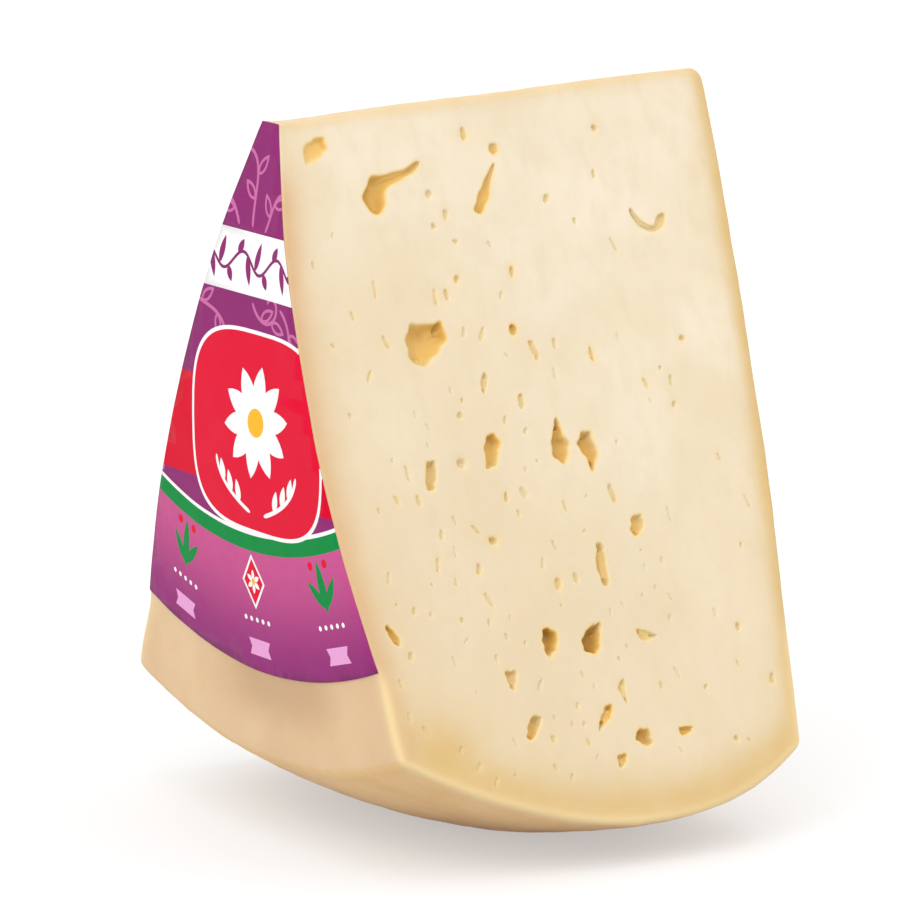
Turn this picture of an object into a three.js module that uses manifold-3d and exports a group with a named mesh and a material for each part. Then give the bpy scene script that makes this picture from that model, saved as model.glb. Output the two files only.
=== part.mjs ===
// A wedge cut from a wheel of pale semi-soft cheese. It stands on its rind heel, tip up.
// Millimetres, +Z up. The wheel's axis runs along X, just above the tip of the wedge.
// The printed face looks towards -X, the bare face towards +X, the shown cut towards -Y.
// "Down" is the distance from the wheel's axis, and "across" the distance along that axis.

import * as THREE from 'three';
import { mergeVertices } from 'three/addons/utils/BufferGeometryUtils.js';
import Module from 'manifold-3d';

const wasm = await Module();
wasm.setup();

// ---- driving dimensions ----

const WHEEL_RADIUS = 180; // from the axis to the fullest line of the heel
const WHEEL_HEIGHT = 139; // between the two faces, before they dip or fall away
const CUT_ANGLE = 43.3; // degrees between the two cuts

const LABEL_FACE_RADIUS = 159; // where the printed face meets the heel
const LABEL_FACE_DIP = 21; // how far that face sinks towards the wheel's middle
const LABEL_FACE_FALL = 21.8; // how far it falls away towards the rim
const LABEL_FACE_CURVE = 1.6; // power of that fall
const RIM_LIP = 2.4; // how far the rim stands out again, past the label
const BARE_FACE_RADIUS = 167; // where the bare face meets the heel
const BARE_FACE_FALL = 9.5; // how far the bare face falls away towards the rim

const FULLEST_LINE = 16; // across, from mid-height to the fullest line of the heel
const HEEL_CURVE_LABEL_SIDE = 1.85; // power of the heel's fall towards the printed face
const HEEL_CURVE_BARE_SIDE = 2.4; // and towards the bare face
const RESTING_CUT = 1.6; // how much the heel is flattened where the wedge stands

const TIP_CUT_LABEL_SIDE = 8.7; // how far down the tip is trimmed at the printed face
const TIP_CUT_BARE_SIDE = 2.6; // and at the bare face
const TIP_CORNER_RADIUS = 4.5; // worn round corner of the tip at the bare face

const LABEL_RADIUS = 137.6;
const LABEL_THICKNESS = 0.5;
const LABEL_GAP = 0.3;

const WHEEL_SEGMENTS = 132; // facets once round the whole wheel
const FACE_STEPS = 18; // profile steps along each face
const HEEL_STEPS = 15; // profile steps across the heel

const MID_SHIFT = -5.7; // puts the middle of the wedge's box over the origin
const AXIS_HEIGHT = WHEEL_RADIUS - RESTING_CUT;
const HALF_ANGLE = THREE.MathUtils.degToRad(CUT_ANGLE / 2);

// The larger eyes of the shown cut: across, down, width, height, lean in degrees, taper, bow, depth.
// A lean over zero tips the eye's top to +X. A taper over zero narrows its top. A bow over zero
// bends its two ends to -X, by that share of its height.
const SHOWN_EYES = [
  [-22.1, 63.4, 11.0, 10.8, 14, -0.45, 0, 6.0],
  [-25.3, 22.5, 4.6, 18.8, 52, 0.85, -0.29, 3.8],
  [-41.9, 15.9, 4.7, 6.0, 20, -0.2, 0, 1.6],
  [1.3, 28.2, 2.4, 13.0, 30, 0.55, 0, 2.2],
  [45.4, 39.9, 2.0, 9.5, -82, 0.4, -0.32, 1.6],
  [16.1, 91.5, 5.3, 7.8, -14, -0.25, 0, 4.2],
  [8.8, 88.3, 4.7, 8.6, -8, 0.5, 0, 4.4],
  [-9.9, 89.1, 3.4, 7.6, 8, 0.1, 0, 3.4],
  [13.1, 119.9, 4.2, 10.6, -8, 0.6, 0, 3.2],
  [7.3, 136.4, 5.0, 7.6, 16, -0.15, 0, 5.0],
  [-4.4, 135.7, 3.8, 6.8, -6, 0.1, 0, 4.2],
  [-12.9, 154.9, 3.7, 6.0, 25, 0, 0, 3.2],
  [16.3, 160.4, 4.7, 4.3, -30, 0.1, 0, 3.8],
  [6.7, 154.1, 2.9, 6.2, 30, -0.4, 0, 3.0],
  [-28.0, 94.3, 2.8, 7.0, 8, 0.2, 0, 2.6],
  [25.5, 111.3, 3.3, 5.9, 2, 0, 0, 3.0],
  [22.2, 136.6, 2.7, 6.2, -82, -0.5, 0, 1.8],
  [-46.2, 130.0, 2.5, 6.6, -36, 0.1, 0, 2.6],
  [-16.7, 143.3, 3.2, 4.9, 0, -0.5, 0, 2.4],
  [12.7, 148.8, 2.3, 6.2, -8, -0.4, 0, 1.6],
  [9.2, 165.0, 2.7, 4.6, 12, -0.4, 0, 2.2],
  [6.6, 68.6, 2.1, 6.8, -10, 0.1, 0, 1.6],
];
const HIDDEN_EYES = 26; // as many on the other cut, placed by the seeded rule below
const HIDDEN_EYES_SEED = 7919;
const HIDDEN_DEPTH_SHARE = 0.65; // their depth, as a share of their width
const HIDDEN_LEAST_DEPTH = 0.7;
const EYE_SUNK_SHARE = 0.15; // how far an eye's middle lies below the cut, as a share of its half depth
const LARGE_EYE = 9; // an eye as tall as this has finer facets

// ---- shape of the wheel ----

// Where the printed face lies, across from mid-height, at a distance down from the axis.
function labelFace(down) {
  const share = Math.min(down / LABEL_FACE_RADIUS, 1);
  const dip = LABEL_FACE_DIP * (1 - share) ** 2;
  const fall = LABEL_FACE_FALL * share ** LABEL_FACE_CURVE;
  const lip = RIM_LIP * THREE.MathUtils.smoothstep(down, LABEL_RADIUS, LABEL_FACE_RADIUS);
  return -WHEEL_HEIGHT / 2 + dip + fall - lip;
}

function bareFace(down) {
  return WHEEL_HEIGHT / 2 - BARE_FACE_FALL * (down / BARE_FACE_RADIUS) ** 2;
}

// The heel falls away from its fullest line to the edge of each face.
function heelRadius(across) {
  const onLabelSide = across < FULLEST_LINE;
  const edgeRadius = onLabelSide ? LABEL_FACE_RADIUS : BARE_FACE_RADIUS;
  const edge = onLabelSide ? labelFace(edgeRadius) : bareFace(edgeRadius);
  const curve = onLabelSide ? HEEL_CURVE_LABEL_SIDE : HEEL_CURVE_BARE_SIDE;
  const share = (across - FULLEST_LINE) / (edge - FULLEST_LINE);
  return WHEEL_RADIUS - (WHEEL_RADIUS - edgeRadius) * share ** curve;
}

// Values from first to last in equal steps, both ends included.
function spread(first, last, steps) {
  return Array.from({ length: steps + 1 }, (_, i) => first + ((last - first) * i) / steps);
}

// ---- solids ----

function toSolid(geometry) {
  geometry.deleteAttribute('normal');
  geometry.deleteAttribute('uv');
  const merged = mergeVertices(geometry, 1e-4);
  const index = merged.index.array;
  const corners = [];
  for (let i = 0; i < index.length; i += 3) {
    const [a, b, c] = [index[i], index[i + 1], index[i + 2]];
    if (a !== b && b !== c && c !== a) corners.push(a, b, c);
  }
  return new wasm.Manifold(new wasm.Mesh({
    numProp: 3,
    vertProperties: new Float32Array(merged.attributes.position.array),
    triVerts: new Uint32Array(corners),
  }));
}

function toGeometry(solid) {
  const mesh = solid.getMesh();
  const geometry = new THREE.BufferGeometry();
  geometry.setAttribute('position', new THREE.BufferAttribute(mesh.vertProperties, 3));
  geometry.setIndex(new THREE.BufferAttribute(mesh.triVerts, 1));
  geometry.computeVertexNormals();
  return geometry;
}

// A profile of (down, across) points turned once round the wheel's axis.
function turned(profile) {
  const geometry = new THREE.LatheGeometry(profile, WHEEL_SEGMENTS);
  geometry.rotateZ(-Math.PI / 2);
  geometry.translate(MID_SHIFT, 0, AXIS_HEIGHT);
  return toSolid(geometry);
}

function wheelSolid() {
  const profile = [];
  for (const down of spread(0, LABEL_FACE_RADIUS, FACE_STEPS)) {
    profile.push(new THREE.Vector2(down, labelFace(down)));
  }
  const heelStart = labelFace(LABEL_FACE_RADIUS);
  const heelEnd = bareFace(BARE_FACE_RADIUS);
  for (const across of spread(heelStart, heelEnd, HEEL_STEPS).slice(1)) {
    profile.push(new THREE.Vector2(heelRadius(across), across));
  }
  for (const down of spread(BARE_FACE_RADIUS, 0, FACE_STEPS).slice(1)) {
    profile.push(new THREE.Vector2(down, bareFace(down)));
  }
  return turned(profile);
}

function labelSolid() {
  const downs = spread(0, LABEL_RADIUS, FACE_STEPS);
  const inner = downs.map((down) => new THREE.Vector2(down, labelFace(down) - LABEL_GAP));
  const outer = downs.map((down) => {
    return new THREE.Vector2(down, labelFace(down) - LABEL_GAP - LABEL_THICKNESS);
  });
  return turned([...outer, ...inner.reverse()]);
}

// The sector between the two cuts, as a long three-sided prism with its edge on the axis.
function sectorSolid() {
  const reach = 1.2 * WHEEL_RADIUS;
  const side = reach * Math.tan(HALF_ANGLE);
  const outline = new THREE.Shape([
    new THREE.Vector2(0, AXIS_HEIGHT),
    new THREE.Vector2(-side, AXIS_HEIGHT - reach),
    new THREE.Vector2(side, AXIS_HEIGHT - reach),
  ]);
  const prism = new THREE.ExtrudeGeometry(outline, { depth: 2 * WHEEL_HEIGHT, bevelEnabled: false });
  prism.translate(0, 0, -WHEEL_HEIGHT);
  prism.rotateY(Math.PI / 2);
  prism.rotateX(Math.PI / 2);
  return toSolid(prism);
}

// What is left between the slanted trim of the tip and the flattened spot of the heel.
function trimSolid() {
  const far = WHEEL_HEIGHT;
  const labelX = labelFace(TIP_CUT_LABEL_SIDE) + MID_SHIFT;
  const bareX = bareFace(TIP_CUT_BARE_SIDE) + MID_SHIFT;
  const slope = (TIP_CUT_LABEL_SIDE - TIP_CUT_BARE_SIDE) / (bareX - labelX);
  const labelZ = AXIS_HEIGHT - TIP_CUT_LABEL_SIDE - slope * (far + labelX);
  const bareZ = AXIS_HEIGHT - TIP_CUT_BARE_SIDE;
  const outline = new THREE.Shape();
  outline.moveTo(-far, 0);
  outline.lineTo(far, 0);
  outline.lineTo(far, bareZ - 3 * TIP_CORNER_RADIUS);
  outline.lineTo(bareX, bareZ - TIP_CORNER_RADIUS);
  outline.quadraticCurveTo(bareX, bareZ, bareX - TIP_CORNER_RADIUS, bareZ - slope * TIP_CORNER_RADIUS);
  outline.lineTo(-far, labelZ);
  const block = new THREE.ExtrudeGeometry(outline, {
    depth: 2 * WHEEL_RADIUS,
    bevelEnabled: false,
    curveSegments: 5,
  });
  block.rotateX(Math.PI / 2);
  block.translate(0, WHEEL_RADIUS, 0);
  return toSolid(block);
}

// ---- eyes ----

// Even draws between 0 and 1 from one seed.
function seededDraws(seed) {
  let state = seed;
  return () => {
    state = (state * 48271) % 2147483647;
    return state / 2147483647;
  };
}

// Eyes for the cut that isn't shown, kept clear of the rind and of each other.
function scatteredEyes(count, seed) {
  const draw = seededDraws(seed);
  const eyes = [];
  while (eyes.length < count) {
    const down = 22 + 142 * Math.sqrt(draw());
    const across = -44 + 96 * draw();
    const width = 2.4 + 4.6 * draw() ** 2;
    const height = width * (1.1 + 1.3 * draw());
    const lean = 44 * (draw() - 0.5);
    const taper = 1.1 * (draw() - 0.5);
    const depth = HIDDEN_DEPTH_SHARE * width + HIDDEN_LEAST_DEPTH;
    const free = eyes.every((eye) => Math.hypot(eye[0] - across, eye[1] - down) > 0.8 * (eye[3] + height));
    if (free) eyes.push([across, down, width, height, lean, taper, 0, depth]);
  }
  return eyes;
}

// Carries local (across, into or out of the cut, up the cut) to the eye's place.
// side is -1 for the shown cut and 1 for the other.
function placeOnCut(eye, side) {
  const [across, down] = eye;
  const sine = Math.sin(HALF_ANGLE);
  const cosine = Math.cos(HALF_ANGLE);
  const place = new THREE.Matrix4().makeBasis(
    new THREE.Vector3(1, 0, 0),
    new THREE.Vector3(0, cosine, side * sine),
    new THREE.Vector3(0, -side * sine, cosine),
  );
  return place.setPosition(across + MID_SHIFT, side * down * sine, AXIS_HEIGHT - down * cosine);
}

// An uneven egg, a little more than half sunk into its cut.
function eyeSolid(eye, side, draw) {
  const [, , width, height, lean, taper, bow, depth] = eye;
  const halfDepth = depth / (1 + EYE_SUNK_SHARE);
  const turn = new THREE.Matrix4().makeRotationY(THREE.MathUtils.degToRad(lean));
  const place = placeOnCut(eye, side).multiply(turn);
  const egg = new THREE.IcosahedronGeometry(1, height > LARGE_EYE ? 2 : 1);
  egg.deleteAttribute('normal');
  egg.deleteAttribute('uv');
  const skin = mergeVertices(egg, 1e-4);
  const spots = skin.attributes.position;
  const spot = new THREE.Vector3();
  for (let i = 0; i < spots.count; i++) {
    spot.fromBufferAttribute(spots, i).multiplyScalar(0.88 + 0.24 * draw());
    spot.set(
      (spot.x * (1 - taper * spot.z) * width) / 2 - bow * height * spot.z ** 2,
      (spot.y - side * EYE_SUNK_SHARE) * halfDepth,
      (spot.z * height) / 2,
    );
    spot.applyMatrix4(place);
    spots.setXYZ(i, spot.x, spot.y, spot.z);
  }
  return toSolid(skin);
}

function eyeSolids() {
  const draw = seededDraws(HIDDEN_EYES_SEED + 1);
  const shown = SHOWN_EYES.map((eye) => eyeSolid(eye, -1, draw));
  const hidden = scatteredEyes(HIDDEN_EYES, HIDDEN_EYES_SEED).map((eye) => eyeSolid(eye, 1, draw));
  return [...shown, ...hidden];
}

// ---- the part ----

function namedMesh(name, solid, color, roughness) {
  const material = new THREE.MeshStandardMaterial({ color, roughness, metalness: 0 });
  const mesh = new THREE.Mesh(toGeometry(solid), material);
  mesh.name = name;
  return mesh;
}

function buildWedge() {
  const sector = sectorSolid().intersect(trimSolid());
  let cheese = wheelSolid().intersect(sector);
  for (const eye of eyeSolids()) cheese = cheese.subtract(eye);
  const label = labelSolid().intersect(sector);
  const wedge = new THREE.Group();
  wedge.add(namedMesh('cheese', cheese, 0xf3e2bf, 0.6));
  wedge.add(namedMesh('label', label, 0x97377f, 0.45));
  return wedge;
}

export default buildWedge();
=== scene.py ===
"""A wedge of pale semi-soft cheese, standing on its rind heel, with a printed label over one side.

Lengths are in millimetres until a mesh is made. The wheel that the wedge was cut from has its axis
along X, just above the wedge's tip. "Down" is the distance from that axis, and "across" the place
along it, from the middle of the wheel's height. The shown cut looks towards -Y, the hidden cut
towards +Y and the printed face towards -X.
"""
import math

import bmesh
import bpy
import numpy as np
from mathutils import Matrix, Vector
from mathutils.geometry import delaunay_2d_cdt


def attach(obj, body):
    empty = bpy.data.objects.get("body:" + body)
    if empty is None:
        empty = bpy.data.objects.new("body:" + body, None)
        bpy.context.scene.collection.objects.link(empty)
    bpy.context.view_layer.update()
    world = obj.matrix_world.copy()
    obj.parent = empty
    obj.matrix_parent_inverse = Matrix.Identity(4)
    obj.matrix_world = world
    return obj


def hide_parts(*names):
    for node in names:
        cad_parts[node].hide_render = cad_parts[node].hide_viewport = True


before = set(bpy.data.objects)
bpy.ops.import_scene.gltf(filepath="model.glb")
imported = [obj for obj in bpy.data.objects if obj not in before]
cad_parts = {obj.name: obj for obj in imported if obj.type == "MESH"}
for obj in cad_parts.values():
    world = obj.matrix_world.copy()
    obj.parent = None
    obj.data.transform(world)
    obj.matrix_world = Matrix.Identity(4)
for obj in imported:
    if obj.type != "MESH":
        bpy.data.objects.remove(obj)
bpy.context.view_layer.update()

MM = 0.001

# ---- the wheel and the cuts, as in the CAD model ----

WHEEL_RADIUS = 180
WHEEL_HEIGHT = 139
HALF_ANGLE = math.radians(43.3 / 2)
LABEL_FACE_RADIUS = 159
LABEL_FACE_DIP = 21
LABEL_FACE_FALL = 21.8
LABEL_FACE_CURVE = 1.6
RIM_LIP = 2.4
BARE_FACE_RADIUS = 167
BARE_FACE_FALL = 9.5
FULLEST_LINE = 16
HEEL_CURVE_LABEL_SIDE = 1.85
HEEL_CURVE_BARE_SIDE = 2.4
RESTING_CUT = 1.6
TIP_CUT_LABEL_SIDE = 8.7
TIP_CUT_BARE_SIDE = 2.6
MID_SHIFT = -5.7
AXIS_HEIGHT = WHEEL_RADIUS - RESTING_CUT
LABEL_RADIUS = 137.6

# ---- how the real surface differs from the plain solid ----

HEEL_EDGE_ROUND = 1.4  # radius of the edges between the heel and the two faces
TIP_CORNER_ROUND = 3.8
CUT_EDGE_ROUND = 1.5  # radius of the edges of the two cuts
CRISP_ROUND = 0.5  # radius of the edges along the label
WORN_TIP = (-40, 40)  # across: where the tip's edge turns from crisp to worn
BESIDE_LABEL = (-6, -1)  # from the label's side: where the cuts' edges turn crisp
LABEL_END = (135, 141)  # down: where they turn worn again
SIDE_BLEND = 0.9  # how softly one side's relief passes into the next
SLOPE_REACH = 0.02  # over which the skin's slope is measured
LEAST_PACE = 0.2
SETTLE_STEPS = 6
MESH_STEP = 2.1
EDGE_STEPS = (0, 0.3, 0.65, 1.1, 1.7, 2.6)  # finer rows beside each edge
TIP_BLEND = 14  # how far down from the tip the rows turn from straight to arcs
ROW_GAP = 0.93  # share of its distance that a finer row keeps round corners
GRID_STRAY = 0.2  # of the points between the rows, in mesh steps
GRID_GAP = 0.45  # between them and the rows, in mesh steps
LEAST_HEIGHT = 0.01  # a sliver triangle along a straight edge is thinner
TINY = 1e-9
FAR = 1e9

# Layers of relief: height, seed and wavelength, and how far it is stretched along each axis.
HEEL_RELIEF = ((0.2, 21, 40), (0.06, 22, 9), (0.03, 23, 4))
BARE_RELIEF = ((0.25, 31, 40), (0.06, 32, 8))
CUT_RELIEF = ((0.2, 41, 52), (0.05, 42, 9, (1, 1, 4)))
LABEL_RELIEF = ((0.16, 11, 46), (0.05, 12, 15))

LABEL_LIFT = 0.05  # clear of the cheese
LABEL_THICKNESS = 0.22
LABEL_INSET = 0.15  # from the edges of the cuts and the tip
LABEL_STEP = 4

# The larger eyes of the shown cut: across, down, depth, colour from 0 pale to 1 brown (partly the
# eye's own tint, partly painted shade that deepens with depth), and the direction of the wall
# darkened by painted shade, in degrees from the right towards up. Then the corners, and a spine
# along which the
# eye is deepest, each as pairs: to the right and up from the eye's middle.
SHOWN_EYES = (
    (-22.3, 63.3, 3.9, 0.58, 35,
     (-5.7, -2, -5.1, 2.4, -3.4, 5.2, 0.6, 3.8, 5, 5.3, 5.8, 0.3, 2.3, -2.3, -1, -5.7, -3.5, -4.9),
     (-1.5, -3, -0.5, 0.2, 3.4, 2.2)),
    (-23.4, 26.3, 2.6, 0.68, 215,
     (-6.9, 0.8, -5.6, 3.3, -1.3, 3, 3.9, 4, 8, 6.1, 8.8, 5.2, 6.3, 3, 2.4, 1.6, -0.6, 0.7,
      -2.5, -1.3, -2.6, -4.1, -5.2, -6.1, -7.7, -4.7, -8.8, -2.1),
     (-5.2, -3.8, -4.9, 0.3, -2, 1.9, 3.2, 3, 7.6, 5.3)),
    (-42.3, 16.4, 0.9, 0.56, 40,
     (-2.8, 1.3, -1, 2.7, 3, 3.3, 3.3, 0.2, 0.1, -1.7, -2.7, -3.5, -3.4, -1.5),
     (-1.6, -0.8, 1.4, 1.4)),
    (1.3, 28.2, 1.4, 0.58, 220,
     (3.9, 6.1, 4.3, 5.3, 1.9, 1, 1, -2.1, -2.2, -6.1, -4.2, -5.2, -1.9, -1.4, 0.6, 2),
     (3.9, 5.4, 0.6, 0.3, -0.9, -2.6, -3, -5.3)),
    (5.9, 19.1, 1, 0.52, 270,
     (-0.8, 1.4, 1.3, 1.3, 1.2, -0.5, -0.3, -1.5, -1.4, -0.2), (-0.1, 0.3, 0.1, -0.2)),
    (45.8, 38.6, 1, 0.28, 20,
     (-4.8, 3.4, -3.7, 1.9, -1.5, -1, 1, -2.1, 2.5, 0.8, 4.9, 1.1, 4.3, -1.5, 1.5, -3.5,
      -0.8, -3.2, -3.3, -1.5, -5, 1.1), (-4.3, 1.9, -2.4, -1.1, 0.9, -2.7, 3.6, -0.2)),
    (15.8, 92.4, 2.8, 0.68, 210,
     (-0.5, 5, 1.9, 4.8, 2.1, 2.3, 2.9, -0.8, 1.3, -3, 0.2, -5, -0.6, -1.2, -2.8, 1.6, -1.3, 3.1),
     (0.4, 3, 0.4, 0.2, 0.9, -2.2)),
    (8.7, 89.3, 2.9, 0.7, 170,
     (0.1, 5.8, 0.8, 3.8, 1.3, 0.8, 2.5, -1, 1.7, -3.8, 0.1, -5.6, -2.3, -3.6, -2.6, -0.2,
      -1, 2.7), (0, 2.6, -0.4, -2.8)),
    (-10, 89.7, 2.4, 0.64, 90,
     (-1, 3.2, 1.2, 4.2, 2.5, 2.1, 1.3, -2.1, 0.5, -3.8, -2.4, -4.2, -2, 0), (0.4, 2, -0.8, -2.2)),
    (13.4, 119.2, 1.8, 0.46, 180,
     (0.1, 5.4, 1.6, 5.1, 1.7, -0.8, 1.3, -4.9, -0.2, -5.4, -1.2, -0.5), (0.7, 3, 0.5, -3)),
    (7.2, 135.9, 3.7, 0.98, 200,
     (2.9, 3.8, 2.3, -0.3, 1.1, -3.7, -3.1, -2.6, -2.6, 0.4, -0.3, 2.4), (0.9, 0.9, -0.8, -1.4)),
    (-4.2, 135.5, 3.2, 0.9, 110,
     (-1.4, 3.3, 1, 3, 2.1, 0.6, 1, -2.2, -1.1, -3.4, -2.1, -2, -2.1, 0.5),
     (-0.3, 1.4, -0.4, -1.2)),
    (-13, 154.6, 2.1, 0.54, 190,
     (0.1, 2.8, 2.6, 2.5, 1.7, -0.1, -0.9, -2.9, -2.6, -2.3, -1.5, 0.4), (0.8, 1.3, -0.9, -1.3)),
    (16.3, 160.4, 2.6, 0.72, 150,
     (-1.4, 2.2, 1.9, 1.8, 2.2, -1.3, 0.7, -2.3, -2.2, -0.3), (-0.2, 0.6, 0.6, -0.4)),
    (6.9, 154.6, 1.9, 0.6, 30,
     (0.6, 2.8, 2.6, 2.9, 1.5, 0, -2.6, -2.9, -1.3, 0.4), (1.2, 1.5, -0.4, -0.5)),
    (-27.8, 94, 1.8, 0.44, 180,
     (-0.3, 3.3, 1.9, 3.6, 1.7, 0.6, 0.3, -3.6, -1.9, -3.3, -1.5, 0.4), (0.6, 1.8, -0.5, -1.8)),
    (25.7, 111.1, 1.7, 0.56, 200,
     (-1, 2.4, 2, 2.7, 1.8, -0.4, -0.8, -2.7, -2.1, -0.7), (0.2, 1, -0.2, -1)),
    (22.7, 136.6, 1.1, 0.38, 180,
     (-3.2, 1.7, -1.1, 1.3, 3.2, -0.5, -0.2, -1.5, -1.6, -1.6), (-1.6, 0.3, 0.6, -0.4)),
    (-46, 129.7, 1.6, 0.66, 120,
     (-1.5, 2.9, -0.1, 1.9, 1.6, -0.6, 1.7, -2.8, -0.1, -1.8, -1.3, 0.6), (-0.7, 1.2, 0.8, -1.3)),
    (-16.4, 143.2, 1.6, 0.44, 170,
     (-1.6, 2.3, 1.6, 2.2, 1.4, 0.3, -0.1, -2.5, -1, -1.2), (0, 1, -0.1, -0.4)),
    (12.7, 149.2, 0.9, 0.32, 160,
     (1.2, 3.3, 1.1, 0, 0.9, -3.3, -0.2, -0.9, -1.2, 1.4), (0.4, 1.4, 0.5, -1.2)),
    (9.4, 165.1, 1.4, 0.48, 40, (-1.4, 1.6, 1.5, 1.6, 0.8, -0.3, -1.2, -2), (0.1, 0.7, -0.4, -0.3)),
    (28.2, 160.2, 1.2, 0.7, 150, (-2, 1, 2, 1, 1.5, -0.3, -1, -1.1, -2, -0.3), (-1, 0.1, 0.8, 0.2)),
    (-8.8, 74.1, 1, 0.3, 160,
     (0.2, 2.8, 1.2, 2.6, 0.7, -0.5, -0.8, -2.7, -1.2, -0.4), (0.3, 1.2, -0.4, -1.1)),
)
# Smaller eyes of the shown cut, which the CAD model leaves out, and one or two that it has: across,
# down, width, height, lean in degrees to +X at the top, colour.
SHOWN_SMALL_EYES = (
    (-1.5, 14.8, 1.9, 3.8, 8, 0.38), (35.2, 15.9, 2, 1.9, 0, 0.34),
    (32.6, 27, 1.3, 3.2, 0, 0.24), (-14.1, 28.6, 2.6, 3, 20, 0.2),
    (-14.4, 36.2, 1.7, 2.2, -10, 0.22), (-10.6, 33.6, 1.8, 3.2, 15, 0.26),
    (-9.2, 40.2, 1.9, 1.6, 40, 0.18), (17.9, 31.9, 1.6, 3, 24, 0.3),
    (4.6, 48.5, 1.4, 3.4, 4, 0.42), (-10.8, 49, 1.6, 2.6, 20, 0.38),
    (-17.5, 52.7, 1.3, 5, 4, 0.26), (-14.3, 52.5, 1.6, 3.6, -10, 0.34),
    (-33.4, 49.7, 1.1, 5.4, 2, 0.2), (-33.2, 62.3, 1.6, 4.2, -14, 0.26),
    (1.8, 62, 2.5, 3.4, 0, 0.62), (-6.8, 62.2, 1.4, 4.4, 26, 0.22),
    (-11.8, 61.6, 1.2, 3.6, 12, 0.18), (6.6, 67.4, 1.9, 6, -16, 0.34),
    (12.6, 66.3, 1.6, 3.4, 4, 0.22), (22.4, 69.4, 1.3, 4.6, 0, 0.44),
    (48.4, 68, 1.9, 1.8, 0, 0.32), (0.2, 79, 1.8, 5.2, 2, 0.3),
    (-16.9, 80.9, 2.2, 2.4, 20, 0.2), (35.8, 78, 1.2, 3.4, -16, 0.26),
    (42.9, 77.8, 1.4, 3.4, 6, 0.24), (-19, 92.1, 3.4, 2.9, 40, 0.24),
    (-34.2, 93, 1.3, 5, -6, 0.2), (-32.6, 99.5, 1.4, 3.6, -6, 0.24),
    (-8.6, 101, 1.4, 3.2, 14, 0.4), (-3.7, 100.4, 2, 4, -20, 0.16),
    (20.2, 103, 2, 5.8, -10, 0.28), (-18.6, 107.6, 1.5, 3.4, -40, 0.26),
    (-14.2, 110.6, 2.8, 2.4, 20, 0.46), (-28, 108, 1.5, 3, 4, 0.22),
    (-19.7, 116.7, 1.5, 3.4, 12, 0.34), (0.7, 122.4, 2.1, 3.6, 4, 0.36),
    (5.9, 121.6, 1.8, 3.2, 0, 0.28), (48.4, 137.6, 1.9, 2.6, 10, 0.34),
    (-42.3, 134.8, 1.8, 2.6, 20, 0.28), (-39.2, 124.6, 1.3, 2.4, 10, 0.26),
    (-8.4, 157.8, 1.6, 2.4, 0, 0.24), (55.2, 150.6, 1.9, 3.6, 4, 0.3),
    (41.6, 163.6, 1.8, 1.9, 30, 0.3),
)

# Scattered eyes: how many, and the ranges of their widths and colours.
SHOWN_FLECKS = (95, (0.6, 1.4), (0.06, 0.28))
HIDDEN_SMALL_EYES = (42, (1.2, 2.4), (0.2, 0.5))
HIDDEN_FLECKS = (110, (0.6, 1.4), (0.08, 0.36))
FLECK_SEED = 4111
FLECK_MARGIN = 5  # to the cut's edges
FLECK_REACH = 0.56  # of its height
FLECK_GAP = 1.2

# The larger eyes of the hidden cut.
HIDDEN_EYES = 26
HIDDEN_EYES_SEED = 7919
HIDDEN_COLOURS = (0.4, 0.85)

# Rings of an eye, from its rim to its bottom: shares of its reach, its depth and its colour, which
# darkens towards the bottom partly as the eye's own tint and partly as painted shade.
EYE_RINGS = (
    (1, 0.06, 0.5), (0.9, 0.3, 0.78), (0.76, 0.62, 0.92),
    (0.56, 0.88, 1), (0.32, 0.98, 1), (0.12, 1, 1),
)
FLECK_RINGS = ((1, 0.12, 0.35), (0.68, 0.7, 0.9), (0.25, 1, 1))
EYE_LIPS = (0.3, 0.8)  # how far outside the rim the cut stays level
LIP_TONE = 0.3  # share of the eye's colour on the first of them
EYE_CLEAR = 0.2  # from the last of them to the points round it
EYE_NEAR = 2
EYE_STEP = 0.5  # along an eye's outline
LEAST_STEPS = 10
STEPS_SMOOTHED = 16  # by one pass
EYE_SPREAD = 0.7  # share of its full width from which an eye is fully deep
LEAST_DEPTH = 0.3  # share of its depth where it is narrow
EYE_BUMPS = (3, 5, 8)  # waves once round the outline of a large eye
EYE_UNEVEN = 0.06  # height of each, as a share of the way from the spine
LARGE_OUTLINE = 20  # steps
EYE_WALL_SHADE = 0.6  # how much darker painted shade makes one wall than the rest
SMALL_EYE = 2.2  # an eye less far across than this has fewer rings


# ---- small tools ----

def seeded_draws(seed):
    """Even draws between 0 and 1, the same ones as in the CAD model."""
    state = seed
    while True:
        state = state * 48271 % 2147483647
        yield state / 2147483647


def smooth(low, high, value):
    share = np.clip((value - low) / (high - low), 0, 1)
    return share * share * (3 - 2 * share)


def pairs(x, y):
    return np.stack([x, y], axis=1)


def following(loop):
    return np.roll(loop, -1, axis=0)


def lengths(vectors):
    return np.hypot(*vectors.T)


def toward(degrees):
    return math.cos(math.radians(degrees)), math.sin(math.radians(degrees))


def angles_round(count):
    return np.arange(count) * 2 * math.pi / count


def grid_over(loop, step):
    """Even rows of points over the box round a loop."""
    low, high = loop.min(axis=0), loop.max(axis=0)
    columns, lines = (np.arange(low[axis], high[axis], step) for axis in (0, 1))
    columns, lines = np.meshgrid(columns, lines)
    return pairs(columns.ravel(), lines.ravel())


def waves(seed, wavelength, stretch=(1, 1, 1), count=28):
    """A smooth seeded field of about -1 to 1, as a sum of waves in all directions."""
    rng = np.random.default_rng(seed)
    directions = rng.normal(size=(count, 3))
    directions /= np.linalg.norm(directions, axis=1)[:, None]
    pace = 2 * math.pi / wavelength * rng.uniform(0.6, 1.5, count)
    vectors = directions * pace[:, None] / np.array(stretch)
    phases = rng.uniform(0, 2 * math.pi, count)
    return lambda points: np.sin(points @ vectors.T + phases).sum(axis=1) / math.sqrt(count)


def relief(layers, points):
    return sum(height * waves(*how)(points) for height, *how in layers)


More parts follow.
